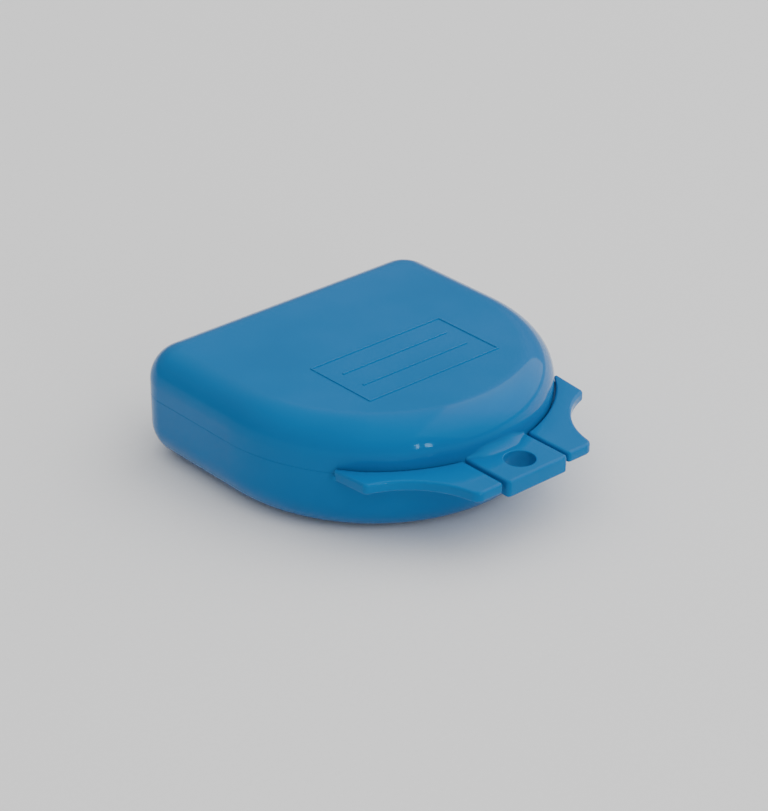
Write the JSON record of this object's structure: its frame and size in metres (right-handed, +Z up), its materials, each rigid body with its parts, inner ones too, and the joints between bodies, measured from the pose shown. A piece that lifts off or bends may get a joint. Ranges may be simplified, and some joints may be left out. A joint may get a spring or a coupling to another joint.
{
  "type": "dental appliance box",
  "caption": "D-shaped hinged snap-shut case for a dental appliance, with a round nose, finger wings on the base and a centre tab with a lanyard hole on the lid.",
  "frame": {"origin": "on the table, below the middle of the closed case, heels and tab included", "axes": "+X to the right, +Y from the tab at the front to the hinge at the back, +Z up, from the base to the lid"},
  "size_m": [0.075, 0.0852, 0.0247],
  "materials": {
    "base_plastic": "gloss",
    "lid_plastic": "gloss",
    "pin_steel": "satin"
  },
  "bodies": {
    "base": {"base_shell": "base_plastic", "hinge_pin": "pin_steel"},
    "lid": {"lid_shell": "lid_plastic"}
  },
  "joints": [
    {"name": "lid_hinge", "type": "hinge", "parent": "base", "child": "lid", "pos_m": [0, 0.04043, 0.0143], "axis": [-1, 0, 0], "range_deg": [0, 180]}
  ]
}
